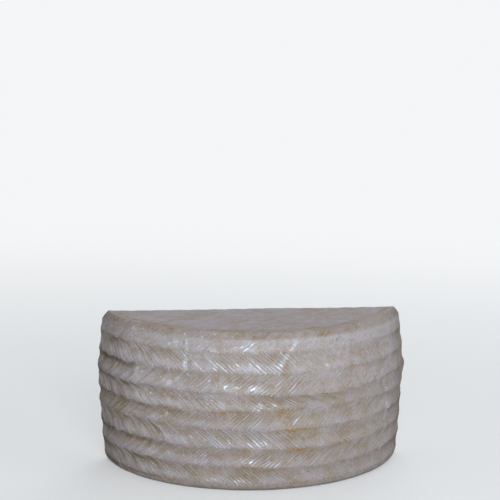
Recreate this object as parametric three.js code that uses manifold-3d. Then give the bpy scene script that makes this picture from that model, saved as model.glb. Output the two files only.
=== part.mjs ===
// Half of a small wheel of pressed ewe's milk cheese, cut straight down and standing on its base.
// Millimetres, +Z up. The rind bends round the -Y side, and the cut face looks along +Y.
// The side carries the print of a plaited grass band: level rows of strands that lean one way
// and then the other, each row a shallow bowl between two sharp ridges.

import * as THREE from 'three';
import { mergeVertices } from 'three/addons/utils/BufferGeometryUtils.js';
import Module from 'manifold-3d';

// The wheel
const bulgeRadius = 102.3;
const bulgeHeight = 62;
const footDraw = 3.4;
const rimDraw = 3.8;
const barrelPower = 1.8;
const footRounding = { inset: 3, height: 5 };
const rimRounding = { inset: 1.8, height: 4.5 };
const roundingSteps = 3;

// The piece: the knife goes down this far in front of the wheel's axis
const cutSetback = 22;
const knifeReach = 150;

// The plaited rows, from the foot to the rim. Each row's top ridge sags by its own amount
// on the right of the middle, where the band was laid less evenly.
const rows = [
  { height: 11.4, sag: 1.6 },
  { height: 11.9, sag: 1.8 },
  { height: 11.9, sag: 0.8 },
  { height: 10.8, sag: -1.8 },
  { height: 11.7, sag: 3.0 },
  { height: 12.3, sag: 0.8 },
  { height: 12.5, sag: 0 },
  { height: 7.0, sag: 0 },
];
const sagCentre = THREE.MathUtils.degToRad(23);
const sagSpread = THREE.MathUtils.degToRad(26);
const rowSteps = 4;
const rowDepth = 1.0;
const bowlPower = 0.8;
const sideToSideChange = 0.3;

// The strands of the plait
const strandsRound = 55;
const columnsPerStrand = 4;
const strandLean = THREE.MathUtils.degToRad(38);
const strandDepth = 0.4;

// A swelling in the rind beside the right-hand end of the cut
const swell = {
  out: 1.6,
  angle: THREE.MathUtils.degToRad(78),
  spreadAngle: THREE.MathUtils.degToRad(11),
  height: 59,
  spreadHeight: 6,
};

const sideHeight = rows.reduce((sum, row) => sum + row.height, 0);
const rimBase = footRounding.height + sideHeight;
const wheelHeight = rimBase + rimRounding.height;
const columns = strandsRound * columnsPerStrand;

function bell(offset, spread) {
  return Math.exp(-((offset / spread) ** 2));
}

// Radius of the plain barrel, widest at bulgeHeight and drawn in towards both flat faces
function barrelRadius(z) {
  const upper = z > bulgeHeight;
  const span = upper ? wheelHeight - bulgeHeight : bulgeHeight;
  const draw = upper ? rimDraw : footDraw;
  return bulgeRadius - draw * (Math.abs(z - bulgeHeight) / span) ** barrelPower;
}

// The profile from the middle of the base, up the side, to the middle of the top. Each level
// keeps its row, its share of the way up that row, and how far the strands have leant by then.
function profileLevels() {
  const levels = [{ radius: 0, z: 0, row: -1, share: 0, lean: 0 }];
  for (let step = 0; step < roundingSteps; step += 1) {
    const turn = (step / roundingSteps) * (Math.PI / 2);
    const z = footRounding.height * (1 - Math.cos(turn));
    const radius = barrelRadius(z) - footRounding.inset * (1 - Math.sin(turn));
    levels.push({ radius, z, row: -1, share: 0, lean: 0 });
  }
  let z = footRounding.height;
  let lean = 0;
  rows.forEach((row, index) => {
    const slope = (index % 2 === 0 ? -1 : 1) / Math.tan(strandLean);
    for (let step = 0; step < rowSteps; step += 1) {
      const share = step / rowSteps;
      const rise = share * row.height;
      levels.push({
        radius: barrelRadius(z + rise),
        z: z + rise,
        row: index,
        share,
        lean: lean + slope * rise,
      });
    }
    z += row.height;
    lean += slope * row.height;
  });
  for (let step = 0; step <= roundingSteps; step += 1) {
    const turn = (step / roundingSteps) * (Math.PI / 2);
    const top = rimBase + rimRounding.height * Math.sin(turn);
    const radius = barrelRadius(top) - rimRounding.inset * (1 - Math.cos(turn));
    levels.push({ radius, z: top, row: -1, share: 0, lean });
  }
  levels.push({ radius: 0, z: wheelHeight, row: -1, share: 0, lean });
  return levels;
}

// How far a level's ridge lies below its even height. Angles run from the middle of the
// rounded side towards +X.
function sagAt(level, angle) {
  if (level.row < 0) {
    return 0;
  }
  const below = level.row > 0 ? rows[level.row - 1].sag : 0;
  const above = rows[level.row].sag;
  const amount = THREE.MathUtils.lerp(below, above, level.share);
  return amount * bell(angle - sagCentre, sagSpread);
}

// Depth of the print below the barrel: a bowl in each row, deepest under its upper ridge,
// and a smaller dip for each strand that lay across it
function printDepth(level, column, angle) {
  if (level.row < 0) {
    return 0;
  }
  const bowl = Math.sin(Math.PI * (1 - level.share) ** bowlPower);
  const side = level.row % 2 === 0 ? 1 : -1;
  const rowPart = rowDepth * (1 + side * sideToSideChange * Math.sin(angle));
  const strandPart = strandDepth * (0.5 - 0.5 * Math.cos((2 * Math.PI * column) / columnsPerStrand));
  return bowl * (rowPart + strandPart);
}

// The whole wheel: a turned profile whose columns follow the lean of the strands
function pressedWheel() {
  const levels = profileLevels();
  const outline = levels.map((level) => new THREE.Vector2(level.radius, level.z));
  const wheel = new THREE.LatheGeometry(outline, columns);
  wheel.rotateX(Math.PI / 2);
  const position = wheel.attributes.position;
  for (let column = 0; column <= columns; column += 1) {
    levels.forEach((level, index) => {
      const turn = ((column % columns) / columns) * 2 * Math.PI - Math.PI;
      const angle = turn + level.lean / bulgeRadius;
      const z = level.z - sagAt(level, angle);
      const swelling = swell.out
        * bell(angle - swell.angle, swell.spreadAngle)
        * bell(z - swell.height, swell.spreadHeight);
      const onAxis = level.radius === 0;
      const radius = onAxis ? 0 : level.radius - printDepth(level, column, angle) + swelling;
      const vertex = column * levels.length + index;
      position.setXYZ(vertex, radius * Math.sin(angle), -radius * Math.cos(angle), z);
    });
  }
  return wheel;
}

function toSolid(wasm, geometry) {
  geometry.deleteAttribute('normal');
  geometry.deleteAttribute('uv');
  const merged = mergeVertices(geometry);
  return new wasm.Manifold(new wasm.Mesh({
    numProp: 3,
    vertProperties: new Float32Array(merged.attributes.position.array),
    triVerts: new Uint32Array(merged.index.array),
  }));
}

function toGeometry(solid) {
  const mesh = solid.getMesh();
  const geometry = new THREE.BufferGeometry();
  geometry.setAttribute('position', new THREE.BufferAttribute(mesh.vertProperties, 3));
  geometry.setIndex(new THREE.BufferAttribute(mesh.triVerts, 1));
  return geometry;
}

// What the knife takes away: everything behind the cut
function farSide() {
  const block = new THREE.BoxGeometry(2 * knifeReach, knifeReach + cutSetback, 2 * knifeReach);
  block.translate(0, (knifeReach - cutSetback) / 2, 0);
  return block;
}

const wasm = await Module();
wasm.setup();

const halfWheel = toGeometry(toSolid(wasm, pressedWheel()).subtract(toSolid(wasm, farSide())));
halfWheel.computeBoundingBox();
const box = halfWheel.boundingBox;
halfWheel.translate(-(box.min.x + box.max.x) / 2, -(box.min.y + box.max.y) / 2, -box.min.z);
halfWheel.computeVertexNormals();

const rind = new THREE.MeshStandardMaterial({ color: 0xa39c95, roughness: 0.45, metalness: 0 });
const piece = new THREE.Mesh(halfWheel, rind);
piece.name = 'half_wheel';

const cheese = new THREE.Group();
cheese.add(piece);

export default cheese;
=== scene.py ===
"""Half a wheel of pressed ewe's milk cheese on a pale studio floor.

The half wheel is turned from a profile, printed with the plaited band and the carved boards that
pressed it, cut with a straight knife, and finished with a waxed rind and a pale cut paste.
"""

import math
import random
from math import cos, pi, radians, sin
from types import SimpleNamespace

import bmesh
import bpy
from bpy.props import FloatProperty, FloatVectorProperty, IntProperty, PointerProperty
from bpy.types import Operator, Panel, PropertyGroup
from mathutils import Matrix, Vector, kdtree, noise


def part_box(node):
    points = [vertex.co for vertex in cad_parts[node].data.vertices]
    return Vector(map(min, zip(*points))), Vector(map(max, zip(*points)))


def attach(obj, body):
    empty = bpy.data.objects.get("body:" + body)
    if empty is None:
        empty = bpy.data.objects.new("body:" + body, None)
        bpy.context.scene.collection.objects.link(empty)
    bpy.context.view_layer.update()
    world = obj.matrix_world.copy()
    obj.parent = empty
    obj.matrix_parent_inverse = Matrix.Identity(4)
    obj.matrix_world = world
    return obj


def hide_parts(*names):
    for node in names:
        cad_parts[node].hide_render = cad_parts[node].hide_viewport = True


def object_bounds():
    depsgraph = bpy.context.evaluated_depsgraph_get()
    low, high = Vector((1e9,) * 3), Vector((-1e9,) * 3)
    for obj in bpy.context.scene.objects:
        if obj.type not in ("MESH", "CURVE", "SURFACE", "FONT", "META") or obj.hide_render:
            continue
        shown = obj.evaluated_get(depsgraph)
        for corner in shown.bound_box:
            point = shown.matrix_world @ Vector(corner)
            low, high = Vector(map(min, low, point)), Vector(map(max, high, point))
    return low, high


bl_info = {
    "name": "Cheese Half Wheel",
    "version": (1, 0, 0),
    "blender": (4, 5, 0),
    "location": "3D View > Sidebar > Cheese",
    "description": "Presses, cuts and finishes half a wheel of hard cheese",
    "category": "Add Mesh",
}

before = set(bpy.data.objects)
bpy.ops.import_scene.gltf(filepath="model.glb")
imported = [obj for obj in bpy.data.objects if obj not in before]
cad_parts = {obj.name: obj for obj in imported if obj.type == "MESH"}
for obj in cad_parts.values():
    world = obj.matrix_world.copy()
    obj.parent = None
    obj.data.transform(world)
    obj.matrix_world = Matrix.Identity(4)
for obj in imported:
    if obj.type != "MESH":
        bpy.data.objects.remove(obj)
cad_low, cad_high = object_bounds()
piece_low, piece_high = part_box("half_wheel")
wheel_height = piece_high.z - piece_low.z

MM = 0.001

# The plaited rows from the foot to the rim: each row's height, and how far its upper ridge sags on
# the right of the middle, where the band was laid less evenly. Even rows lean one way, odd rows
# the other.
PLAIT_ROWS = (
    (11.4 * MM, 1.6 * MM),
    (11.9 * MM, 1.8 * MM),
    (11.9 * MM, 0.8 * MM),
    (10.8 * MM, -1.8 * MM),
    (11.7 * MM, 3.0 * MM),
    (12.3 * MM, 0.8 * MM),
    (12.5 * MM, 0.0),
    (7.0 * MM, 0.0),
)
RIM = len(PLAIT_ROWS)
SHOULDER_ROW = RIM - 1

# Patches on the side: angle in degrees round the wheel from the middle of the rounded side, then
# height, half width and half rise in millimetres, and strength. First the small orange stains.
ORANGE_STAINS = (
    (7, 49, 2.6, 1.2, 1), (10.5, 38.5, 3.4, 1.2, 1), (3.6, 36, 1.6, 1, 0.5),
    (13, 26, 4.5, 1.2, 1), (-13, 50, 2.5, 1.2, 0.7), (-6, 61, 2, 1, 0.6),
    (-34, 50, 2.2, 1, 0.9), (-52.5, 25.5, 2.6, 1.6, 0.7), (-47, 27, 2, 1, 0.5),
    (-55, 51, 3, 1.4, 0.7), (47, 63.6, 1.5, 1, 0.5),
)

# Where old oil has turned the rind ochre
OCHRE_PATCHES = (
    (11, 59.5, 11, 1.8, 0.9), (-14, 50, 13, 2.2, 0.9), (8, 40, 9, 4.5, 0.9),
    (12, 47, 12, 2, 0.6), (9, 51, 8, 2, 0.8), (2, 13, 9, 2.5, 0.6), (14, 27, 10, 3, 1),
    (20, 24, 10, 2, 0.5), (30, 62, 16, 1.5, 0.7), (34.5, 80, 1.5, 11, 2), (37.5, 85, 5, 6, 0.6),
    (66, 71, 8, 5, 0.5), (74, 40, 8, 12, 0.5), (70, 86, 9, 7, 0.8), (-34, 50, 9, 1.8, 0.8),
    (-55, 50, 12, 2.2, 0.9), (-52, 26, 10, 2.4, 0.8), (-42, 13.5, 7, 2, 0.7),
    (34, 27, 14, 2, 0.5), (38, 74, 9, 2, 0.6), (5, 58, 7, 5, 0.45), (14, 33, 13, 9, 0.5),
    (0, 22, 20, 8, 0.3), (22, 60, 22, 12, 0.25), (38, 84, 12, 12, 0.3), (-62, 55, 18, 22, 0.3),
)

# Where the wax lies thick and catches the light, and where glints and a faint sheen are painted;
# above a strength of 1 it is smeared
GLOSSY_PATCHES = (
    (-4, 79, 24, 4.5, 1), (-5.5, 66.5, 17, 3.6, 1), (5, 66, 8, 5, 0.9), (-14.5, 57, 17, 5, 1),
    (3, 56, 10, 3, 1), (11.5, 44.5, 9, 4, 0.8), (-18, 37, 8, 4.5, 0.9), (-5, 31, 18, 4, 1),
    (4, 19, 18, 4.2, 1), (11, 43.5, 5, 2.2, 1.5), (-9, 44, 5, 2.2, 1.4),
    (-13.5, 10, 15, 5, 0.9), (-2, 90, 14, 3.2, 1), (-7, 90, 6, 1.6, 1.7), (-5, 77, 9, 2.2, 1.6),
    (-10, 66.5, 8, 3.2, 2), (-3, 65, 7, 2.8, 1.9), (1.5, 54.5, 8, 2.8, 2),
    (9.5, 56, 4, 2.8, 1.8), (-17, 84, 6, 3, 1.5), (-22, 19, 8, 3, 1.5), (-4, 20, 6, 2.4, 1.5),
    (-8, 6.5, 9, 2.2, 1.5), (9.5, 84, 5, 8, 0.9), (-27, 80, 12, 9, 0.8), (-40, 68, 14, 7, 0.5),
    (-36, 40, 14, 8, 0.5), (26, 78, 16, 6, 0.35), (20, 12, 16, 6, 0.5),
)

# Where the blades' print is worn nearly smooth
WORN_PATCHES = (
    (22, 80, 17, 6, 0.65), (27, 57, 15, 5, 0.55), (17, 36.5, 19, 5.5, 0.75),
    (-2, 26, 10, 4, 0.4),
)

# The band's seam, a folded end of it and its lapped edge, as angles round the wheel
SEAM, FOLD, LAP = -27, 57, 34.5

# Crumbs of pale wax on the seam, along an old scratch, and loose on the left, painted bright
# bluish-white like sparkles
PALE_CRUMBS = (
    *((SEAM + 0.5 * sin(step * 2.3), 93 - step * 1.9, 0.9, 1, 0.9) for step in range(10)),
    *((12.3 - step * 0.53, 92.5 - step * 1.35, 0.9, 0.9, 0.8) for step in range(12)),
    (-31, 91.5, 1.6, 0.8, 0.9), (-33.5, 90, 1, 0.7, 0.8), (-22, 84, 1.8, 0.7, 0.6),
    (-48, 71, 1.6, 1, 0.9), (-45, 69.5, 1.2, 0.8, 0.8), (-33, 66, 1.4, 1.4, 0.8),
    (-30, 69, 1, 1.2, 0.8), (-55, 84, 0.9, 0.9, 0.8), (-34.5, 46, 0.9, 0.8, 0.9),
    (-25, 33, 1, 0.7, 0.8), (-20, 22, 0.9, 0.9, 0.7), (-37, 37, 0.8, 0.8, 0.8),
    (-50, 31, 1, 0.8, 0.6), (24, 77, 0.9, 0.8, 0.7), (29, 83, 0.7, 0.7, 0.7),
    (52, 15, 0.8, 0.8, 0.7),
)

# How many spreads from its middle a patch still counts
PATCH_REACH = 2.5

# Pinholes through the rind: angle and height
PINHOLES = ((-46, 55), (28.7, 92), (17.5, 10.5))
PINHOLE_WIDTH, PINHOLE_DEPTH = 0.7 * MM, 1.1 * MM

# The rind's swelling beside one end of the cut: angle and height, each with its spread
SWELLING_ANGLE, SWELLING_TURN = radians(78), radians(11)
SWELLING_HEIGHT, SWELLING_RISE = 59 * MM, 6 * MM

# Where the ridges sag most, and how far round the wheel that spreads
SAG_ANGLE, SAG_TURN = radians(23), radians(26)

# The materials of the flat rind and of the cut paste; the rounded side has the first, 0
BOARD_FACE, PASTE = 1, 2

# What is nearer together than this is one point, and what is nearer to the knife is on the cut
SLIVER = 0.02 * MM
ON_CUT = 0.0001 * MM

# Soft lumps in the side: height in millimetres, how much more on the left, how fast they change
# round the wheel and up it, and a number that tells one set from the next
LUMPS = ((0.28, 0.42, 9, 85, 17), (0.12, 0.16, 26, 250, 27))

# How fast the streaks change across the strands, up the wheel and from row to row
STREAK_CHANGE = (11.7, 120, 7.3)

FLOOR_RADIUS = 3.0
FLOOR_TONE = (0.8, 0.8, 0.8)
TENT_TINT = (0.98, 0.99, 1.0)
BACKDROP = 0.93
LAMP_TINT = (0.87, 0.94, 1.0)
SKY_TINT = (0.56, 0.76, 1.0)

# The lamps: size, place, tint, and the kind of light that they don't give
LAMPS = {
    "key": ((0.7, 0.6), (0.06, -1.5, 0.6), LAMP_TINT, "glossy"),
    "glint": ((1.6, 1.4), (-0.22, -1.4, 0.5), SKY_TINT, "diffuse"),
    "fill": ((0.9, 0.9), (1.3, -0.9, 0.7), LAMP_TINT, None),
    "back": ((1.2, 1.0), (0.5, 1.5, 0.7), LAMP_TINT, "glossy"),
    "top": ((1.2, 1.2), (0.2, -0.1, 1.6), LAMP_TINT, None),
}
CAMERA_PLACE = (-71.6 * MM, -917.2 * MM, 291.2 * MM)
CAMERA_DIP, CAMERA_PAN = radians(9.1), radians(-4.2)


def smooth_step(low, high, value):
    share = min(max((value - low) / (high - low), 0.0), 1.0)
    return share * share * (3 - 2 * share)


def turned(low, high, angle):
    """A smooth step between two angles in degrees."""
    return smooth_step(radians(low), radians(high), angle)


def bell(offset, spread):
    return math.exp(-((offset / spread) ** 2))


def mixed(low, high, share):
    return low + (high - low) * share


def uneven(*place):
    """Smooth noise at a place, from about -1 to 1."""
    return noise.noise(Vector(place))


def linear(colour):
    """A screen colour as the linear colour that the shaders take."""
    return [c / 12.92 if c <= 0.04045 else ((c + 0.055) / 1.055) ** 2.4 for c in colour]


def length(name, text, default):
    """A length whose default is given in millimetres."""
    return FloatProperty(
        name=name, description=text, default=default * MM, min=0.0, unit="LENGTH", precision=5
    )


def turn_angle(name, text, degrees):
    return FloatProperty(name=name, description=text, default=radians(degrees), subtype="ANGLE")


def count(name, text, default, least):
    return IntProperty(name=name, description=text, default=default, min=least)


def watts(name, text, default):
    return FloatProperty(name=name, description=text, default=default, min=0.0, unit="POWER")


def tone(name, text, red, green, blue):
    """A colour given by its screen values from 0 to 255."""
    default = linear((red / 255, green / 255, blue / 255))
    return FloatVectorProperty(
        name=name, description=text, default=default, size=3, min=0.0, max=1.0, subtype="COLOR"
    )


class WheelShape(PropertyGroup):
    bulge_radius: length("Bulge Radius", "Widest radius of the wheel", 102.3)
    bulge_height: length("Bulge Height", "Where the side is widest", 62)
    foot_draw: length("Foot Draw", "How far the side draws in at the foot", 3.4)
    rim_draw: length("Rim Draw", "How far the side draws in at the rim", 3.8)
    foot_inset: length("Foot Inset", "Reach of the foot's rounding over the base", 3)
    foot_height: length("Foot Height", "Height of the foot's rounding", 5)
    rim_inset: length("Rim Inset", "Reach of the rim's rounding over the top", 2.9)
    cut_setback: length("Cut Setback", "How far off the axis the knife went down", 22)
    swell_out: length("Swelling", "How far the rind swells beside one end of the cut", 1.6)
    slump: length("Slump", "How uneven the pressed wheel is over a hand's width", 0.45)


class PlaitPrint(PropertyGroup):
    row_depth: length("Row Depth", "Depth of the bowl that each plaited row left", 1.0)
    strand_depth: length("Strand Depth", "Extra depth where a strand lay", 0.32)
    fibre_depth: length("Fibre Depth", "Depth of the channel that a grass blade left", 0.32)
    scallop: length("Scallop", "How far each strand lifts the ridge over it", 0.45)
    lean: turn_angle("Strand Lean", "Slope of the strands above level", 38)
    strands_round: count("Strands Round", "Strands in one row round the whole wheel", 55, 8)
    fibres_per_strand: count("Fibres per Strand", "Blades side by side in one strand", 3, 1)


class BoardPrint(PropertyGroup):
    ear_pitch: length("Ear Pitch", "Distance between the carved ears of the boards", 9.6)
    grain_pitch: length("Grain Pitch", "Distance between the grains of one ear", 3.3)
    ear_depth: length("Ear Depth", "Depth between two ears", 0.36)
    plain_border: length("Plain Border", "Width of the plain ring inside the rim", 5)
    heading: turn_angle("Heading", "Direction of the ears from the cut", 52)


class PasteCut(PropertyGroup):
    eye_count: count("Eyes", "Small holes that show in the cut paste", 46, 0)
    eye_size: length("Eye Size", "Width of the largest eyes", 2.9)
    waviness: length("Waviness", "How far the knife strayed", 0.25)


class Profile:
    """The wheel's side as levels, from the foot's inner edge to the rim's. Each level holds its
    radius, its height, its row and share of that row, and how far the strands have leant."""

    ROW_STEPS = 9
    FOOT_STEPS = 6
    RIM_STEPS = 7

    def __init__(self, shape, plait):
        self.shape, self.plait = shape, plait
        self.foot = shape.foot_height
        self.rim_base = self.foot + sum(height for height, _ in PLAIT_ROWS)
        self.levels = []
        self.add_foot()
        self.add_rows()
        self.add_rim()

    def barrel(self, z):
        """Radius of the plain barrel at a height."""
        shape = self.shape
        upper = z > shape.bulge_height
        span = wheel_height - shape.bulge_height if upper else shape.bulge_height
        draw = shape.rim_draw if upper else shape.foot_draw
        return shape.bulge_radius - draw * (abs(z - shape.bulge_height) / span) ** 1.8

    def add_foot(self):
        for step in range(self.FOOT_STEPS):
            turn = step / self.FOOT_STEPS * pi / 2
            z = self.foot * (1 - cos(turn))
            radius = self.barrel(z) - self.shape.foot_inset * (1 - sin(turn))
            lean = (self.foot - z) / math.tan(self.plait.lean)
            self.levels.append((radius, z, -1, z / self.foot, lean))

    def add_rows(self):
        base, lean = self.foot, 0.0
        for row, (height, _) in enumerate(PLAIT_ROWS):
            reach = (-1 if row % 2 == 0 else 1) * height / math.tan(self.plait.lean)
            for step in range(self.ROW_STEPS):
                share = step / self.ROW_STEPS
                curved = share + 0.02 * sin(2 * pi * share)
                z = base + share * height
                self.levels.append((self.barrel(z), z, row, share, lean + reach * curved))
            base += height
            lean += reach
        self.top_lean = lean

    def add_rim(self):
        rise = wheel_height - self.rim_base
        for step in range(self.RIM_STEPS + 1):
            turn = step / self.RIM_STEPS * pi / 2
            z = self.rim_base + rise * sin(turn)
            share = (z - self.rim_base) / rise
            inset = mixed(1 - cos(turn), share, 0.5)
            radius = self.barrel(z) - self.shape.rim_inset * inset
            lean = self.top_lean + (z - self.rim_base) / math.tan(self.plait.lean)
            self.levels.append((radius, z, RIM, share, lean))


class Side:
    """The rounded side: turned from the profile, with the plait printed into it. Each point
    keeps what its finish needs to know, under these names."""

    KEPT = "strand upward hollow crisp blade pit pale ochre stain gloss".split()
    COLUMNS_PER_FIBRE = 7
    REACH = radians(90)

    def __init__(self, bm, profile):
        self.bm, self.profile = bm, profile
        self.shape, self.plait = profile.shape, profile.plait
        for name in self.KEPT:
            setattr(self, name, bm.verts.layers.float.new(name))

    def turn(self):
        """Bends a grid round the wheel: its columns follow the strands, its rows the levels."""
        plait, levels = self.plait, self.profile.levels
        columns_round = plait.strands_round * plait.fibres_per_strand * self.COLUMNS_PER_FIBRE
        pitch = 2 * pi / columns_round
        reach = math.ceil(self.REACH / pitch)
        last = len(levels) - 1
        bmesh.ops.create_grid(self.bm, x_segments=2 * reach, y_segments=last, size=1)
        for vertex in self.bm.verts:
            turn = round(vertex.co.x * reach) * pitch
            level = levels[round((vertex.co.y + 1) / 2 * last)]
            vertex[self.strand] = turn / (2 * pi) * plait.strands_round
            vertex[self.upward] = level[2] + level[3]
            self.press_point(vertex, level, turn)

    def ridge_shift(self, ridge, angle, phase):
        """How far the ridge over a row lies from its even height."""
        if ridge < 0:
            return 0.0
        sag = PLAIT_ROWS[ridge][1] if ridge < SHOULDER_ROW else 0.0
        free = 0.35 if ridge == SHOULDER_ROW else 1.0
        left = turned(-12, -48, angle)
        wobble = 0.9 * MM * uneven(angle * 3.2, ridge * 5.1, 2.0)
        wobble += (0.6 + 0.4 * left) * MM * uneven(angle * 11, ridge * 5.1, 7.0)
        scallop = self.plait.scallop * (abs(sin(pi * phase)) - 0.6)
        scallop *= 1 + 0.5 * left + 0.8 * uneven(angle * 7, ridge * 2.3, 15.0)
        return free * (wobble + scallop) - sag * bell(angle - SAG_ANGLE, SAG_TURN)

    def press_point(self, vertex, level, turn):
        radius, z, row, share, lean = level
        shape, plait = self.shape, self.plait
        angle = turn + lean / shape.bulge_radius
        phase = turn / (2 * pi) * plait.strands_round
        depth, crisp = 0.0, 0.3
        if 0 <= row <= SHOULDER_ROW:
            below = self.ridge_shift(row - 1, angle, phase)
            above = self.ridge_shift(row, angle, phase)
            z += mixed(below, above, share)
            worn = patches_at(WORN_PATCHES, angle, z, shape.bulge_radius)
            depth, crisp = self.print_depth(row, share, angle, phase, worn)
        elif row > SHOULDER_ROW:
            z += self.ridge_shift(SHOULDER_ROW, angle, phase) * (1 - share)
        else:
            depth = share * 0.5 * plait.fibre_depth
            depth *= abs(sin(pi * phase * plait.fibres_per_strand))
        out = shape.swell_out * bell(angle - SWELLING_ANGLE, SWELLING_TURN)
        out *= bell(z - SWELLING_HEIGHT, SWELLING_RISE)
        out += shape.slump * uneven(angle * 2.6, z * 25, 11.0)
        left = turned(-15, -45, angle)
        for lump, more, round_change, up_change, chance in LUMPS:
            rough = uneven(angle * round_change, z * up_change, chance)
            out += (lump + more * left) * MM * rough
        pinhole = self.pinhole(angle, z)
        out += self.marks(angle, z) - PINHOLE_DEPTH * pinhole
        radius += out - depth
        vertex.co = (radius * sin(angle), -radius * cos(angle), z)
        vertex[self.hollow] = depth / (plait.row_depth + plait.strand_depth)
        vertex[self.pit] = pinhole
        vertex[self.crisp] = crisp
        vertex[self.blade] = self.blade_count(phase, row)
        for layer, patches in (
            (self.ochre, OCHRE_PATCHES),
            (self.stain, ORANGE_STAINS),
            (self.gloss, GLOSSY_PATCHES),
            (self.pale, PALE_CRUMBS),
        ):
            vertex[layer] = patches_at(patches, angle, z, shape.bulge_radius)

    def print_depth(self, row, share, angle, phase, worn):
        """Depth of the print below the barrel, and how crisp it is: a bowl in each row, deepest
        under its upper ridge, a dip for each strand that lay across it, and a channel for each
        grass blade."""
        plait = self.plait
        side = 1 if row % 2 == 0 else -1
        chance = uneven(math.floor(phase) * 3.71, row * 9.13, 0.5)
        left = turned(-10, -52, angle)
        right = turned(18, 62, angle)
        edge = turned(56, 80, abs(angle))
        swing = sin(pi * share ** (0.85 + 0.55 * left))
        bowl = 0.45 * swing + 0.55 * swing**2
        crisp = 0.75 + 1.5 * uneven(angle * 4.5, row * 3.3 + share * 0.5, 31.0)
        crisp *= 1.0 - 0.35 * right if row % 2 == 0 else 0.8 - 0.45 * left + 0.5 * right
        crisp *= 1 - 0.7 * turned(-30, -52, angle)
        crisp = min(max(crisp * (1 - worn), 0.08), 1.25)
        if row == SHOULDER_ROW:
            bowl *= 0.18
            crisp *= 0.3
        row_part = plait.row_depth * (1 + side * 0.2 * sin(angle))
        row_part *= (1 + 0.5 * left) * (1 - 0.7 * edge)
        strand = abs(sin(pi * (phase + 0.2 * chance))) ** 0.9
        strand *= (1 + 0.9 * chance) * (0.6 + 0.9 * left)
        fibre = abs(sin(pi * self.blade_count(phase, row)))
        fibre_room = sin(pi * share) ** 0.3 if 0 < share < 1 else 0
        depth = bowl * (row_part + plait.strand_depth * strand)
        return depth + fibre_room * plait.fibre_depth * fibre * crisp, crisp

    def blade_count(self, phase, row):
        """Which grass blade lay at a place, a whole number on the crest between two blades."""
        uneven_width = 0.22 * sin(2 * pi * phase + row * 2.1)
        return phase * self.plait.fibres_per_strand + uneven_width

    def marks(self, angle, z):
        """What the mould left by chance: the band's seam, its lapped edge and a folded end."""
        seam = radians(SEAM) + 0.02 * sin(z * 260)
        fold = radians(FOLD) - 0.05 * ((z - 42 * MM) / (18 * MM)) ** 2
        lap = radians(LAP) + 0.012 * sin(z * 300)
        out = 0.0
        # each line's heights, and its two welts: how far each stands out, lies aside and spreads
        for line, heights, welts in (
            (seam, (72, 77, 93, 97), ((-0.55, 0, 1.1), (0.3, 2.2, 1.5))),
            (fold, (22, 28, 56, 64), ((1.0, 0, 1.6), (-0.8, -3.0, 1.5))),
            (lap, (66, 71, 88, 94), ((-0.4, 0, 0.9), (0.3, -2.0, 1.4))),
        ):
            start, full, fading, end = (height * MM for height in heights)
            share = smooth_step(start, full, z) * smooth_step(end, fading, z)
            for rise, aside, spread in welts:
                gap = (angle - line) * self.shape.bulge_radius - aside * MM
                out += rise * MM * share * bell(gap, spread * MM)
        return out

    def pinhole(self, angle, z):
        """How deep a point lies in a pinhole, from 0 to 1."""
        gaps = []
        for turn, height in PINHOLES:
            aside = (angle - radians(turn)) * self.shape.bulge_radius
            gaps.append(math.hypot(aside, z - height * MM))
        return bell(min(gaps), PINHOLE_WIDTH)


def patches_at(patches, angle, z, reach):
    """How strongly a list of soft patches covers a point of the side."""
    total = 0.0
    for middle, height, width, rise, strength in patches:
        along = (angle - radians(middle)) * reach / (width * MM)
        up = (z - height * MM) / (rise * MM)
        if max(abs(along), abs(up)) < PATCH_REACH:
            total = max(total, strength * math.exp(-(along**2) - up**2))
    return total


def cut_with_knife(bm, setback):
    bmesh.ops.bisect_plane(
        bm,
        geom=list(bm.verts) + list(bm.edges) + list(bm.faces),
        plane_co=(0, -setback, 0),
        plane_no=(0, 1, 0),
        clear_outer=True,
    )


def close_flat_faces(bm, setback):
    """Joins the ends of the foot and of the rim by a straight edge each, fills the three flat
    faces that they bound, and returns the base, the top and the cut face."""
    foot, rim, on_cut = [], [], []
    for edge in bm.edges:
        if not edge.is_boundary:
            continue
        if all(abs(v.co.y + setback) < ON_CUT for v in edge.verts):
            on_cut.append(edge)
        elif edge.verts[0].co.z > wheel_height / 2:
            rim.append(edge)
        else:
            foot.append(edge)
    flat_faces = []
    for edges in (foot, rim):
        touched = [v for e in edges for v in e.verts]
        chord = bm.edges.new([v for v in touched if touched.count(v) == 1])
        on_cut.append(chord)
        flat_faces += filled(bm, edges + [chord], BOARD_FACE)
    return flat_faces + filled(bm, on_cut, PASTE)


def filled(bm, loop, finish):
    faces = bmesh.ops.edgeloop_fill(bm, edges=loop, mat_nr=finish)["faces"]
    if len(faces) != 1:
        raise RuntimeError("a flat face of the half wheel wasn't closed")
    return faces


def spread_out(low, high, step):
    """Places a step apart between two ends, without the ends."""
    cells = max(round((high - low) / step), 1)
    return [mixed(low, high, i / cells) for i in range(1, cells)]


def grid_face(bm, face, stops):
    """Cuts one flat face into cells. Stops are pairs of a direction and the places along it."""
    geom = [face] + list(face.edges) + list(face.verts)
    for direction, places in stops:
        for place in places:
            geom = bmesh.ops.bisect_plane(
                bm, geom=geom, plane_co=place * Vector(direction), plane_no=direction
            )["geom"]
    return [g for g in geom if isinstance(g, bmesh.types.BMFace)]


def corners_of(faces):
    return {v for f in faces for v in f.verts}


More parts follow.
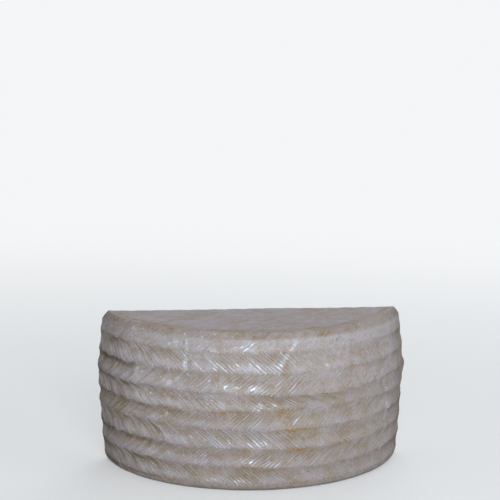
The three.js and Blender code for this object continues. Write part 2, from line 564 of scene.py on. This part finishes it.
class BoardFace:
    """A flat face with the print of a carved board: ears of grain side by side."""

    TOP_CELL, BASE_CELL = 1.0 * MM, 1.5 * MM

    def __init__(self, bm, side, boards):
        self.bm, self.side, self.boards = bm, side, boards

    def print_board(self, face, inward, cell, heading):
        """Presses the ears into one flat face. Inward is 1 for the base and -1 for the top."""
        reach = self.side.shape.bulge_radius
        stops = (
            ((1, 0, 0), spread_out(-reach, reach, cell)),
            ((0, 1, 0), spread_out(-reach, -self.side.shape.cut_setback, cell)),
        )
        faces = grid_face(self.bm, face, stops)
        z = next(iter(faces)).verts[0].co.z
        edge = self.side.profile.levels[0 if inward > 0 else -1][0]
        for vertex in corners_of(faces):
            x, y, _ = vertex.co
            inset = smooth_step(0.5 * MM, self.boards.plain_border, edge - math.hypot(x, y))
            if inset <= 0:
                continue
            depth = inset * self.ear_depth(x, y, heading)
            ring = bell(edge - math.hypot(x, y) - 3 * MM, 4 * MM)
            vertex[self.side.ochre] = ring * (0.9 + 0.9 * uneven(x * 30, y * 30, 55.0))
            dip = 0.35 * MM * (0.5 + uneven(x * 28, y * 28, z * 90 + 3.0))
            vertex.co.z = z + inward * (depth + inset * max(dip, 0.0))
            vertex[self.side.hollow] = depth / self.boards.ear_depth

    def ear_depth(self, x, y, heading):
        boards = self.boards
        across = x * sin(heading) - y * cos(heading)
        along = x * cos(heading) + y * sin(heading)
        across += 0.6 * MM * uneven(x * 40, y * 40, 5.0)
        ear = across / boards.ear_pitch
        off_middle = abs(ear - math.floor(ear) - 0.5) * 2
        valley = off_middle**2.4
        worn = smooth_step(-0.45, 0.35, uneven(x * 22, y * 22, 9.0))
        grain = abs(sin(pi * (along / boards.grain_pitch + off_middle * 0.8)))
        groove = (1 - grain) ** 1.5 * (1 - valley) * (0.25 + 0.75 * worn)
        return boards.ear_depth * (valley * (0.6 + 0.4 * worn) + 0.55 * groove)


class CutFace:
    """The cut paste: a nearly flat face with small eyes in it."""

    CELL = 1.7 * MM
    EDGE_ROOM = 3.5 * MM
    CHANCE = 7

    def __init__(self, bm, side, paste):
        self.bm, self.side, self.paste = bm, side, paste
        self.skin = bm.verts.layers.float.new("skin")

    def finish(self, face):
        """Grids the face, opens the eyes, and keeps each point's distance from the rind."""
        rim = tuple(v.co.copy() for v in face.verts)
        reach = max(v.x for v in rim) - self.EDGE_ROOM
        stops = (
            ((1, 0, 0), spread_out(-reach - self.CELL, reach + self.CELL, self.CELL)),
            ((0, 0, 1), spread_out(0, wheel_height, self.CELL)),
        )
        faces = grid_face(self.bm, face, stops)
        for vertex in corners_of(faces):
            if all(f.material_index == PASTE for f in vertex.link_faces):
                vertex[self.side.hollow] = 0.0
        self.open_eyes(faces, reach)
        faces = [f for f in self.bm.faces if f.material_index == PASTE]
        nearest = kdtree.KDTree(len(rim))
        for index, place in enumerate(rim):
            nearest.insert(place, index)
        nearest.balance()
        outline = [e for f in faces for e in f.edges if self.meets_rind(e)]
        for vertex in corners_of(faces):
            x, _, z = vertex.co
            to_side = nearest.find(vertex.co)[2]
            vertex[self.skin] = min(to_side, z, wheel_height - z)
            vertex.co.y += self.paste.waviness * uneven(x * 18, z * 26, 41.0)
        for edge in outline:
            edge.smooth = False
            for vertex in edge.verts:
                vertex[self.skin] = 0.0

    def open_eyes(self, faces, reach):
        draw = random.Random(self.CHANCE)
        for _ in range(self.paste.eye_count):
            size = self.paste.eye_size / 2 * mixed(0.26, 1.0, draw.random() ** 2.6)
            middle = Vector(
                (draw.uniform(-reach, reach) * 0.96, 0, draw.uniform(0.08, 0.92) * wheel_height)
            )
            stretch = mixed(1.0, 2.6, draw.random() ** 2)
            tilt = draw.uniform(-0.6, 0.6)
            self.open_eye(middle, size, stretch, tilt, draw.uniform(0, 100))

    def open_eye(self, middle, size, stretch, tilt, chance):
        room = size * stretch + self.CELL
        near = [
            f
            for f in self.bm.faces
            if f.material_index == PASTE and self.flat_gap(f.calc_center_median(), middle) < room
        ]
        edges = {e for f in near for e in f.edges}
        edges = [e for e in edges if e.calc_length() > 0.8 * MM]
        made = bmesh.ops.subdivide_edges(self.bm, edges=edges, cuts=3, use_grid_fill=True)
        touched = {v for v in corners_of(near) if v.is_valid}
        touched.update(v for v in made["geom_inner"] if isinstance(v, bmesh.types.BMVert))
        for vertex in touched:
            along = vertex.co.x - middle.x
            up = vertex.co.z - middle.z
            turned_along = (along * cos(tilt) + up * sin(tilt)) / stretch
            turned_up = up * cos(tilt) - along * sin(tilt)
            bearing = math.atan2(turned_up, turned_along)
            ragged = 1 + 0.28 * uneven(cos(bearing) * 1.3, sin(bearing) * 1.3, chance)
            gap = math.hypot(turned_along, turned_up) / (size * ragged)
            depth = 1 - smooth_step(0.6, 1.0, gap)
            if depth > 0:
                vertex.co.y -= 0.9 * size * depth
                vertex[self.side.hollow] = depth

    @staticmethod
    def meets_rind(edge):
        return len({f.material_index for f in edge.link_faces}) > 1

    @staticmethod
    def flat_gap(place, middle):
        return math.hypot(place.x - middle.x, place.z - middle.z)


class CHEESE_OT_half_wheel(Operator):
    """Press the wheel, cut it in half and finish its rind and paste"""

    bl_idname = "cheese.half_wheel"
    bl_label = "Press the Half Wheel"

    def execute(self, context):
        scene = context.scene
        setback = scene.wheel_shape.cut_setback
        bm = bmesh.new()
        side = Side(bm, Profile(scene.wheel_shape, scene.plait_print))
        side.turn()
        cut_with_knife(bm, setback)
        base, top, cut = close_flat_faces(bm, setback)
        boards = BoardFace(bm, side, scene.board_print)
        heading = scene.board_print.heading
        boards.print_board(top, -1, boards.TOP_CELL, heading)
        boards.print_board(base, 1, boards.BASE_CELL, pi - heading)
        CutFace(bm, side, scene.paste_cut).finish(cut)
        mesh = bpy.data.meshes.new("half_wheel_cheese")
        for face in bm.faces:
            face.smooth = True
        clear_slivers(bm)
        settle(bm)
        bm.to_mesh(mesh)
        bm.free()
        piece = put_object(scene, "half_wheel_cheese", mesh)
        groups = {"mottling": mottling_group(), "waxed_tone": waxed_tone_group()}
        for finish in (side_finish, board_finish, paste_finish):
            mesh.materials.append(finish(scene, groups))
        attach(piece, "root")
        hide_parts("half_wheel")
        return {"FINISHED"}


def clear_slivers(bm):
    """Closes the hair-thin faces that the cuts left, and splits faces with many corners."""
    bmesh.ops.remove_doubles(bm, verts=list(bm.verts), dist=SLIVER)
    many_cornered = [f for f in bm.faces if len(f.verts) > 4]
    bmesh.ops.triangulate(bm, faces=many_cornered, ngon_method="BEAUTY")


def settle(bm):
    """Moves the finished piece from the wheel's axis to where the solid model stands."""
    xs = [v.co.x for v in bm.verts]
    ys = [v.co.y for v in bm.verts]
    low = min(v.co.z for v in bm.verts)
    middle = (piece_low + piece_high) / 2
    aside = middle.x - (min(xs) + max(xs)) / 2
    move = (aside, piece_high.y - max(ys), piece_low.z - low)
    bmesh.ops.translate(bm, verts=list(bm.verts), vec=move)


class RindFinish(PropertyGroup):
    veil: tone("Veil", "The pale film of wax over the rind", 183, 177, 185)
    rind: tone("Rind", "The rind under the wax", 166, 151, 133)
    ochre: tone("Ochre", "Old oil in the hollows of the print", 151, 127, 82)
    orange: tone("Orange Stain", "Small stains", 174, 122, 66)
    # Also painted shade: in the channels, under the ridges, on the rim and in the pinholes
    shade: tone("Shade", "Dust in the deepest lines", 96, 84, 73)
    # Also painted highlight: on the crests, the rows' lower parts, the rim's edge and the ribs
    gleam: tone("Gleam", "Scuffed crests of the print", 209, 211, 219)
    # Also painted glints and sparkles: on the waxed crests and on the specks
    crumb: tone("Crumb", "Loose crumbs of wax", 238, 243, 255)


class PasteFinish(PropertyGroup):
    ivory: tone("Ivory", "Most of the cut paste", 207, 194, 170)
    cloud: tone("Cloud", "Faint clouds in the paste", 200, 185, 157)
    near_rind: tone("Near Rind", "The drier paste just inside the rind", 186, 173, 160)
    skin: tone("Skin", "The rind's own thin section", 150, 128, 100)


class Layout:
    """Places and links the nodes of one node tree."""

    def __init__(self, tree):
        self.tree = tree

    def add(self, kind, inputs=None, **settings):
        node = self.tree.nodes.new(kind)
        for name, value in settings.items():
            setattr(node, name, value)
        self.fill(node, inputs or {})
        node.location = (-180 * (len(self.tree.nodes) % 9), -240 * (len(self.tree.nodes) // 9))
        return node

    def fill(self, node, inputs):
        for name, value in inputs.items():
            self.feed(node.inputs[name], value)

    def feed(self, socket, value):
        if isinstance(value, bpy.types.NodeSocket):
            self.tree.links.new(value, socket)
        else:
            socket.default_value = value

    def maths(self, operation, *values, clamp=False):
        inputs = dict(enumerate(values))
        return self.add("ShaderNodeMath", inputs, operation=operation, use_clamp=clamp).outputs[0]

    def product(self, value, *factors, clamp=False):
        for factor in factors[:-1]:
            value = self.maths("MULTIPLY", value, factor)
        return self.maths("MULTIPLY", value, factors[-1], clamp=clamp)

    def plus(self, base, value, share=1.0):
        """A base with a share of a value added to it."""
        return self.maths("MULTIPLY_ADD", value, share, base)

    def total(self, base, *parts):
        """A base with parts added to it, each a value and its share."""
        for value, share in parts:
            base = self.plus(base, value, share)
        return base

    def most(self, one, other):
        return self.maths("MAXIMUM", one, other)

    def ranged(self, value, low, high, to_low=0.0, to_high=1.0, smooth=True):
        kind = "SMOOTHSTEP" if smooth else "LINEAR"
        inputs = {"Value": value, 1: low, 2: high, 3: to_low, 4: to_high}
        node = self.add("ShaderNodeMapRange", inputs, interpolation_type=kind, clamp=True)
        return node.outputs["Result"]

    def fading(self, value, low, high, after=0.0):
        """1 up to one value, and less from another on."""
        return self.ranged(value, low, high, 1.0, after)

    def band(self, value, start, full, fading, end, after=0.0):
        """Rises from nothing between two values, and fades again between two more."""
        return self.product(self.ranged(value, start, full), self.fading(value, fading, end, after))

    def blend(self, share, low, high, mode="MIX"):
        inputs = {0: share, 6: low, 7: high}
        node = self.add("ShaderNodeMix", inputs, data_type="RGBA", blend_type=mode)
        return node.outputs[2]

    def noise(self, place, scale, detail, roughness):
        inputs = {"Vector": place, "Scale": scale, "Detail": detail, "Roughness": roughness}
        return self.add("ShaderNodeTexNoise", inputs).outputs["Fac"]

    def attribute(self, name):
        return self.add("ShaderNodeAttribute", attribute_name=name).outputs["Fac"]

    def place(self):
        return self.add("ShaderNodeTexCoord").outputs["Object"]

    def mottling(self, groups):
        """The outputs of the mottling group, read at the piece's own place."""
        node = self.add("ShaderNodeGroup", node_tree=groups["mottling"])
        self.feed(node.inputs["Place"], self.place())
        return node.outputs

    def emboss(self, shader, relief, depth, strength=1.0):
        inputs = {"Height": relief, "Strength": strength, "Distance": depth}
        bump = self.add("ShaderNodeBump", inputs)
        self.feed(shader.inputs["Normal"], bump.outputs[0])


def colour(value):
    return (*value, 1.0)


def new_group(name, inputs, outputs):
    """An empty node group. Inputs and outputs are pairs of a name and a kind of value."""
    tree = bpy.data.node_groups.new(name, "ShaderNodeTree")
    for side, sockets in (("INPUT", inputs), ("OUTPUT", outputs)):
        for socket, kind in sockets:
            tree.interface.new_socket(socket, in_out=side, socket_type="NodeSocket" + kind)
    layout = Layout(tree)
    given = layout.add("NodeGroupInput").outputs
    result = layout.add("NodeGroupOutput")
    return tree, layout, given, result


def mottling_group():
    """Uneven tone: broad clouds, small mottles, grain and fine specks of a surface."""
    outputs = [(name, "Float") for name in ("Cloud", "Mottle", "Grain", "Speck")]
    tree, lay, given, result = new_group("mottling", [("Place", "Vector")], outputs)
    place = given["Place"]
    found = {
        "Cloud": lay.ranged(lay.noise(place, 42, 4, 0.6), 0.34, 0.66),
        "Mottle": lay.ranged(lay.noise(place, 160, 3, 0.55), 0.34, 0.66),
        "Grain": lay.noise(place, 820, 2, 0.6),
        "Speck": lay.ranged(lay.noise(place, 600, 1, 0.5), 0.69, 0.74),
    }
    lay.fill(result, found)
    return tree


RIND_TONES = ("Veil", "Rind", "Ochre", "Orange", "Shade", "Gleam", "Crumb")


def waxed_tone_group():
    """Colour of the waxed rind from how hollow and how stained a place is."""
    inputs = [(name, "Float") for name in ("Hollow", "Stain", "Cloud", "Mottle", "Grain", "Speck")]
    inputs += [(name, "Color") for name in RIND_TONES]
    tree, lay, given, result = new_group("waxed_tone", inputs, [("Tone", "Color")])
    veil = lay.total(0.22, (given["Mottle"], 0.32), (given["Cloud"], 0.36))
    now = lay.blend(veil, given["Rind"], given["Veil"])
    ochre = lay.product(given["Hollow"], lay.plus(1.0, veil, -0.6), clamp=True)
    stain = lay.product(given["Stain"], lay.fading(given["Mottle"], 0.1, 0.9, 0.5))
    for share, over in (
        (ochre, "Ochre"),
        (lay.ranged(stain, 0.1, 0.52, 0.0, 0.95), "Orange"),
        (lay.ranged(given["Grain"], 0.5, 0.27, 0.0, 0.2), "Shade"),
        (lay.ranged(given["Grain"], 0.52, 0.72, 0.0, 0.2), "Gleam"),
        # specks painted as bright sparkles
        (lay.product(given["Speck"], 0.7), "Crumb"),
    ):
        now = lay.blend(share, now, given[over])
    lay.fill(result, {"Tone": now})
    return tree


def waxed_tone(scene, lay, groups, hollow, specks):
    """The rind's tone and its mottling, placed in a material."""
    mottle = lay.mottling(groups)
    node = lay.add("ShaderNodeGroup", node_tree=groups["waxed_tone"])
    lay.fill(node, {name: mottle[name] for name in ("Cloud", "Mottle", "Grain")})
    lay.fill(node, {name: colour(getattr(scene.rind_finish, name.lower())) for name in RIND_TONES})
    specks = lay.product(mottle["Speck"], specks)
    lay.fill(node, {"Speck": specks, "Hollow": hollow, "Stain": lay.attribute("stain")})
    return node.outputs["Tone"], mottle


def side_masks(lay):
    """Where a point of the side lies round the wheel, up it and in its row; the streaks that run
    along the strands; and how thick the wax is."""
    at = SimpleNamespace(place=lay.place(), upward=lay.attribute("upward"))
    at.aside, _, at.height = lay.add("ShaderNodeSeparateXYZ", {0: at.place}).outputs
    at.row_share = lay.maths("FRACT", at.upward)
    along = (lay.attribute("strand"), at.height, lay.maths("FLOOR", at.upward))
    along = [lay.product(place, change) for place, change in zip(along, STREAK_CHANGE)]
    lane = lay.add("ShaderNodeCombineXYZ", dict(enumerate(along))).outputs[0]
    at.streak = lay.noise(lane, 0.85, 3, 0.6)
    at.fine = lay.noise(lane, 1.35, 2, 0.6)
    at.ribs = lay.noise(lane, 0.3, 2, 0.5)
    at.beads = lay.noise(at.place, 900, 1, 0.5)
    waxing = lay.attribute("gloss")
    at.gloss = lay.maths("MINIMUM", waxing, 1.0)
    at.smeared = lay.ranged(waxing, 1.0, 1.4)
    at.left = lay.fading(at.aside, -55 * MM, -15 * MM)
    at.far_left = lay.product(
        lay.fading(at.aside, -80 * MM, -30 * MM), lay.fading(at.height, 83 * MM, 90 * MM, 0.3)
    )
    at.off_far_left = lay.plus(1.0, at.far_left, -0.5)
    crumbs = lay.ranged(at.beads, 0.4, 0.52, 0.3, 1.0)
    at.pale = lay.product(lay.attribute("pale"), crumbs)
    return at


def add_row_masks(lay, at):
    """The painted shade in the band under each ridge, the crease under each ridge with ochre oil
    and painted shade in it, and the painted shade on the rim's rounding.
    """
    under_shoulder = lay.fading(at.upward, SHOULDER_ROW, SHOULDER_ROW + 0.3)
    # Painted shade in the band under each ridge, stronger on the left
    at.under = lay.product(
        lay.band(at.row_share, 0.5, 0.84, 0.9, 1.0, 0.35),
        lay.ranged(at.aside, -90 * MM, -30 * MM, 0.8, 0.4),
        lay.ranged(lay.noise(at.place, 38, 3, 0.6), 0.4, 0.6),
        under_shoulder,
    )
    # The crease under each ridge: ochre oil and painted shade
    at.crease = lay.product(
        lay.ranged(at.row_share, 0.8, 0.93),
        lay.ranged(at.row_share, 0.96, 1.0, 0.45, 0.15),
        lay.ranged(lay.noise(at.place, 55, 2, 0.5), 0.38, 0.6, 0.1, 1.0),
        under_shoulder,
    )
    # Painted shade on the rim's rounding
    at.rim = lay.product(
        lay.ranged(at.upward, RIM - 0.06, RIM + 0.32),
        lay.ranged(at.aside, -90 * MM, -60 * MM, 0.4, 1.0),
        lay.ranged(lay.noise(at.place, 45, 3, 0.6), 0.32, 0.6, 0.5, 1.0),
    )


def add_blade_masks(lay, at):
    """The crests between the grass blades, and the channels beside them."""
    blade = lay.plus(lay.attribute("blade"), lay.maths("SUBTRACT", at.fine, 0.5), 0.25)
    to_crest = lay.maths("PINGPONG", blade, 0.5)
    to_half = lay.maths("PINGPONG", lay.plus(blade, 0.44), 0.5)
    crisp = lay.product(lay.ranged(at.streak, 0.38, 0.58), lay.attribute("crisp"), clamp=True)
    legible = lay.product(crisp, at.off_far_left)
    thick = lay.ranged(lay.noise(at.place, 170, 2, 0.5), 0.36, 0.64, -0.08, 0.08)
    line = lay.fading(lay.maths("SUBTRACT", to_crest, thick), 0.0, 0.1)
    thin_line = lay.product(lay.fading(to_half, 0.0, 0.08), lay.ranged(at.fine, 0.45, 0.6), 0.35)
    at.lines = lay.most(line, thin_line)
    at.crests = lay.product(at.lines, legible)
    # Where bright glints are painted on the crests, in the thick wax
    at.waxed_crests = lay.product(line, legible, at.gloss)
    # The channels beside the crests, which get ochre oil and painted shade
    at.channel = lay.product(lay.band(to_crest, 0.12, 0.22, 0.26, 0.42), legible)


def side_hollow(lay, at):
    """How much ochre a place of the side takes: old oil in the print and its channels, and painted
    shade, tinted ochre, under the ridges, in the creases and on the rim's rounding.
    """
    print_hollow = lay.ranged(lay.attribute("hollow"), 0.45, 1.2, 0.0, 0.38)
    hollow = lay.total(
        # painted shade under the ridges and in the creases, tinted ochre
        lay.most(lay.most(print_hollow, lay.product(at.under, 0.8)), at.crease),
        (lay.attribute("ochre"), 0.48),
        (lay.fading(at.height, 15 * MM, 85 * MM), 0.2),
        (lay.fading(at.aside, -100 * MM, -50 * MM), 0.05),
        (at.channel, 0.45),
        (lay.fading(at.streak, 0.34, 0.5), 0.18),
        (lay.ranged(lay.noise(at.place, 360, 2, 0.6), 0.52, 0.64, -0.07, 0.27), 1.0),
        # painted shade on the rim's rounding, tinted ochre
        (at.rim, 0.6),
    )
    return lay.product(hollow, lay.fading(at.aside, 25 * MM, 65 * MM, 0.76))


def side_shade_and_streaks(lay, at):
    """How dark a place of the side is: painted shade in the channels beside the crests, under the
    ridges, on the rim's rounding, between the far left's ribs, in the pinholes and towards the
    bottom, and darker streaks along the strands, at the foot and towards both ends."""
    streaks = lay.total(0.08, (at.left, 0.1), (at.far_left, -0.1))
    shade_and_streaks = lay.total(
        # painted shade in the channels, more where the wax is thick
        lay.product(at.channel, lay.plus(0.26, at.gloss, 0.26)),
        (lay.fading(at.streak, 0.32, 0.52), streaks),
        # painted shade between the far left's ribs
        (lay.product(lay.fading(at.ribs, 0.36, 0.54), at.far_left), 0.13),
        # painted shade, darker towards the bottom
        (lay.ranged(at.height, 0.0, 90 * MM, 1.0, 0.0, smooth=False), 0.2),
        # darker at the foot
        (lay.fading(at.height, 0.0, 4 * MM), 0.3),
        # painted shade on the rim's rounding
        (at.rim, 0.26),
        # darker towards both ends of the side
        (lay.fading(at.aside, -97 * MM, -70 * MM), 0.27),
        (lay.ranged(at.aside, 85 * MM, 100 * MM), 0.3),
        # painted shade under the ridges towards both ends
        (at.under, lay.ranged(at.aside, -90 * MM, -40 * MM, 0.6, 0.1)),
        (at.under, lay.ranged(at.aside, 50 * MM, 90 * MM, 0.0, 0.35)),
    )
    # painted shade in the pinholes
    return lay.most(shade_and_streaks, lay.product(lay.attribute("pit"), 0.9))


def side_tone(lay, at, look, now):
    """Painted highlights on the crests, on the lower part of each row, on the edge below the rim
    and on the far left's ribs, painted shade and streaks, and crumbs painted bright, laid over the
    waxed tone.
    """
    # Painted light on the lower part of each row, which faces up; stronger on the left
    ridge = lay.product(
        lay.band(at.row_share, 0.04, 0.22, 0.3, 0.55),
        lay.ranged(lay.noise(at.place, 90, 3, 0.6), 0.4, 0.6),
        lay.plus(0.06, at.left, 0.2),
    )
    # Painted highlight along the edge below the rim's rounding
    edge_highlight = lay.band(at.upward, RIM - 0.65, RIM - 0.2, RIM - 0.15, RIM + 0.15)
    # Painted highlight on the crests of the far left's ribs
    rib_crests = lay.product(lay.ranged(at.ribs, 0.48, 0.62), at.far_left)
    for share, over in (
        # painted highlight on the crests, partly scuffed wax, lighter on the left
        (lay.product(at.crests, lay.plus(0.44, at.left, 0.08), clamp=True), look.gleam),
        # painted glints on the crests where the wax is thick
        (lay.product(at.waxed_crests, 0.28), look.crumb),
        # painted light on the lower part of each row
        (ridge, look.gleam),
        # painted highlight below the rim
        (lay.product(edge_highlight, 0.13), look.gleam),
        # painted highlight on the far left's ribs
        (lay.product(rib_crests, 0.18), look.gleam),
        # painted shade and darker streaks
        (side_shade_and_streaks(lay, at), look.shade),
        # crumbs of pale wax, painted bright like sparkles
        (lay.product(at.pale, 0.9), look.crumb),
        # a faint painted sheen where the wax is thick
        (lay.product(at.gloss, 0.02), look.gleam),
    ):
        now = lay.blend(share, now, colour(over))
    return now


def side_wax(lay, at):
    """Where the wax shines: on the crests, in beads where it is smeared, and on the crumbs."""
    clump = lay.product(lay.plus(0.17, at.smeared, 0.22), lay.ranged(at.beads, 0.52, 0.59))
    wax = lay.product(
        lay.most(lay.product(at.lines, 0.85), clump),
        lay.plus(0.07, at.gloss, 0.93),
        lay.most(lay.ranged(at.streak, 0.4, 0.54, 0.12, 1.0), at.smeared),
        clamp=True,
    )
    broken = lay.ranged(lay.noise(at.place, 520, 1, 0.5), 0.38, 0.58, 0.4, 1.0)
    return lay.most(lay.product(wax, broken), lay.product(at.pale, 0.6))


def side_relief(lay, at, grain):
    """The side's finest relief, smoother where the wax lies thick."""
    streaks = lay.product(lay.plus(lay.product(at.fine, 0.5), at.streak, 0.9), at.off_far_left)
    rough = lay.total(streaks, (grain, 0.3), (lay.noise(at.place, 300, 3, 0.6), 0.5))
    return lay.total(
        lay.product(rough, lay.plus(1.0, at.gloss, -0.5)),
        (at.crests, 0.16),
        (lay.product(at.ribs, at.far_left), 1.7),
        (at.pale, 0.5),
        (lay.product(at.beads, lay.plus(0.2, at.smeared, 0.2)), at.gloss),
    )


def side_finish(scene, groups):
    look = scene.rind_finish
    material, lay, shader = new_material("waxed_rind_side", look.rind)
    at = side_masks(lay)
    add_row_masks(lay, at)
    add_blade_masks(lay, at)
    # More painted sparkles on the left than on the right
    specks = lay.ranged(at.aside, -40 * MM, 0.0, 0.8, 0.25)
    now, mottle = waxed_tone(scene, lay, groups, side_hollow(lay, at), specks)
    surface = {
        "Base Color": side_tone(lay, at, look, now),
        "Roughness": lay.ranged(at.streak, 0.35, 0.65, 0.7, 0.55),
        "Specular IOR Level": 0.0,
        "Coat Weight": side_wax(lay, at),
        "Coat Roughness": 0.1,
        "Coat IOR": 1.6,
    }
    lay.fill(shader, surface)
    lay.emboss(shader, side_relief(lay, at, mottle["Grain"]), 0.8 * MM)
    return material


def board_finish(scene, groups):
    look = scene.rind_finish
    material, lay, shader = new_material("waxed_rind_flat", look.rind)
    groove = lay.attribute("hollow")
    rim_oil = lay.product(lay.attribute("ochre"), lay.ranged(groove, 0.05, 0.5, 0.35, 1.0))
    hollow = lay.most(lay.ranged(groove, 0.3, 1.0, 0.0, 0.12), rim_oil)
    # A few painted sparkles on the flat faces
    now, mottle = waxed_tone(scene, lay, groups, hollow, 0.15)
    surface = {
        "Base Color": lay.blend(0.1, now, colour(look.shade)),
        "Roughness": lay.ranged(mottle["Mottle"], 0.0, 1.0, 0.6, 0.42),
        "Specular IOR Level": 0.0,
    }
    lay.fill(shader, surface)
    relief = lay.plus(mottle["Grain"], lay.noise(lay.place(), 130, 3, 0.6), 1.6)
    lay.emboss(shader, relief, 0.5 * MM)
    return material


def paste_finish(scene, groups):
    look = scene.paste_finish
    material, lay, shader = new_material("cut_paste", look.ivory)
    place = lay.place()
    mottle = lay.mottling(groups)
    skin = lay.attribute("skin")
    ragged = lay.plus(skin, lay.noise(place, 70, 3, 0.5), 3 * MM)
    now = lay.blend(lay.product(mottle["Cloud"], 0.6), colour(look.ivory), colour(look.cloud))
    near_rind = lay.ranged(ragged, 2.5 * MM, 7.5 * MM, 0.8, 0.0)
    now = lay.blend(near_rind, now, colour(look.near_rind))
    now = lay.blend(lay.ranged(skin, 0.4 * MM, 1.3 * MM, 0.85, 0.0), now, colour(look.skin))
    # Painted shade inside the eyes
    painted_eye_shade = lay.product(lay.attribute("hollow"), 0.3)
    now = lay.blend(painted_eye_shade, now, colour(look.cloud), mode="MULTIPLY")
    surface = {
        "Base Color": now,
        "Roughness": lay.ranged(mottle["Mottle"], 0.0, 1.0, 0.45, 0.58),
        "Subsurface Weight": 0.15,
        "Subsurface Radius": (1.0, 0.7, 0.4),
        "Subsurface Scale": 3 * MM,
    }
    lay.fill(shader, surface)
    relief = lay.plus(lay.noise(place, 600, 3, 0.6), lay.noise(place, 90, 3, 0.6), 2.0)
    lay.emboss(shader, relief, 0.3 * MM, strength=0.6)
    return material


def new_material(name, shown):
    material = bpy.data.materials.new(name)
    material.use_nodes = True
    material.diffuse_color = colour(shown)
    tree = material.node_tree
    return material, Layout(tree), tree.nodes["Principled BSDF"]


class StudioSettings(PropertyGroup):
    lens: FloatProperty(
        name="Lens", description="Focal length", default=108.0, min=1.0, unit="CAMERA"
    )
    key_power: watts("Key Light", "Power of the key light", 18.1)
    fill_power: watts("Fill Light", "Power of the fill light", 3.2)
    glint_power: watts("Glint Light", "Power of the light that the wax mirrors", 212.0)
    top_power: watts("Top Light", "Power of the overhead light", 3.8)
    back_power: watts("Back Light", "Power of the light on the cut face", 12.0)
    surround: FloatProperty(
        name="Surround",
        description="Brightness of the light tent",
        default=0.35,
        min=0.0,
        max=1.0,
        subtype="FACTOR",
    )


def put_object(scene, name, data):
    """A new object for some data, placed in the scene."""
    piece = bpy.data.objects.new(name, data)
    scene.collection.objects.link(piece)
    return piece


def add_light(scene, name, power, aim):
    size, place, tint, without = LAMPS[name]
    light = bpy.data.lights.new(name, "AREA")
    light.shape = "RECTANGLE"
    light.size, light.size_y = size
    light.color = tint
    light.energy = power
    lamp = put_object(scene, name, light)
    lamp.location = place
    lamp.rotation_euler = (aim - lamp.location).to_track_quat("-Z", "Y").to_euler()
    if without:
        setattr(lamp, "visible_" + without, False)


def lay_floor(scene):
    """A pale disc that thins out to nothing far from the piece."""
    bm = bmesh.new()
    bmesh.ops.create_circle(bm, cap_ends=True, segments=96, radius=FLOOR_RADIUS)
    floor = bpy.data.meshes.new("floor")
    bm.to_mesh(floor)
    bm.free()
    material, lay, shader = new_material("pale_floor", FLOOR_TONE)
    reach = lay.add("ShaderNodeVectorMath", {0: lay.place()}, operation="LENGTH")
    surface = {
        "Base Color": colour(FLOOR_TONE),
        "Roughness": 0.7,
        "Specular IOR Level": 0.0,
        "Alpha": lay.ranged(reach.outputs["Value"], 0.15, 1.2, 0.7, 0.0),
    }
    lay.fill(shader, surface)
    floor.materials.append(material)
    piece = put_object(scene, "floor", floor)


def light_tent(scene, surround):
    """Soft light from all round, in front of a white backdrop."""
    world = bpy.data.worlds.new("light_tent")
    world.use_nodes = True
    lay = Layout(world.node_tree)
    seen = lay.add("ShaderNodeLightPath").outputs["Is Camera Ray"]
    strength = lay.ranged(seen, 0.0, 1.0, surround, BACKDROP)
    background = {"Color": colour(TENT_TINT), "Strength": strength}
    lay.fill(world.node_tree.nodes["Background"], background)
    scene.world = world


class CHEESE_OT_stage(Operator):
    """Lay the pale floor and set the soft lights and the camera"""

    bl_idname = "cheese.stage"
    bl_label = "Set the Stage"

    def execute(self, context):
        scene = context.scene
        studio = scene.studio_settings
        lay_floor(scene)
        light_tent(scene, studio.surround)
        middle = (cad_low + cad_high) / 2
        for name in LAMPS:
            add_light(scene, name, getattr(studio, name + "_power"), middle)
        camera = bpy.data.cameras.new("camera")
        camera.lens = studio.lens
        scene.camera = put_object(scene, "camera", camera)
        scene.camera.location = CAMERA_PLACE
        scene.camera.rotation_euler = (pi / 2 - CAMERA_DIP, 0, CAMERA_PAN)
        scene.view_settings.view_transform = "Standard"
        return {"FINISHED"}


class CHEESE_PT_workshop(Panel):
    """Everything needed to press a half wheel again"""

    bl_idname = "CHEESE_PT_workshop"
    bl_label = "Cheese Half Wheel"
    bl_space_type = "VIEW_3D"
    bl_region_type = "UI"
    bl_category = "Cheese"

    def draw(self, context):
        layout = self.layout
        for operator, groups in STEPS:
            box = layout.box()
            for group in groups:
                settings = getattr(context.scene, group)
                box.label(text=group.replace("_", " ").capitalize())
                for name in settings.bl_rna.properties.keys():
                    if name not in ("rna_type", "name"):
                        box.prop(settings, name)
            box.operator(operator)


PIECE_SETTINGS = {
    "wheel_shape": WheelShape,
    "plait_print": PlaitPrint,
    "board_print": BoardPrint,
    "paste_cut": PasteCut,
    "rind_finish": RindFinish,
    "paste_finish": PasteFinish,
}
STAGE_SETTINGS = {"studio_settings": StudioSettings}
SETTINGS = PIECE_SETTINGS | STAGE_SETTINGS

# Each operator, and the settings that it reads
STEPS = (("cheese.stage", STAGE_SETTINGS), ("cheese.half_wheel", PIECE_SETTINGS))

CLASSES = (*SETTINGS.values(), CHEESE_OT_half_wheel, CHEESE_OT_stage, CHEESE_PT_workshop)


def register():
    for cls in CLASSES:
        bpy.utils.register_class(cls)
    for name, group in SETTINGS.items():
        setattr(bpy.types.Scene, name, PointerProperty(type=group))


def unregister():
    for name in SETTINGS:
        delattr(bpy.types.Scene, name)
    for cls in reversed(CLASSES):
        bpy.utils.unregister_class(cls)


def main():
    register()
    bpy.ops.cheese.stage()
    bpy.ops.cheese.half_wheel()


if __name__ == "__main__":
    main()
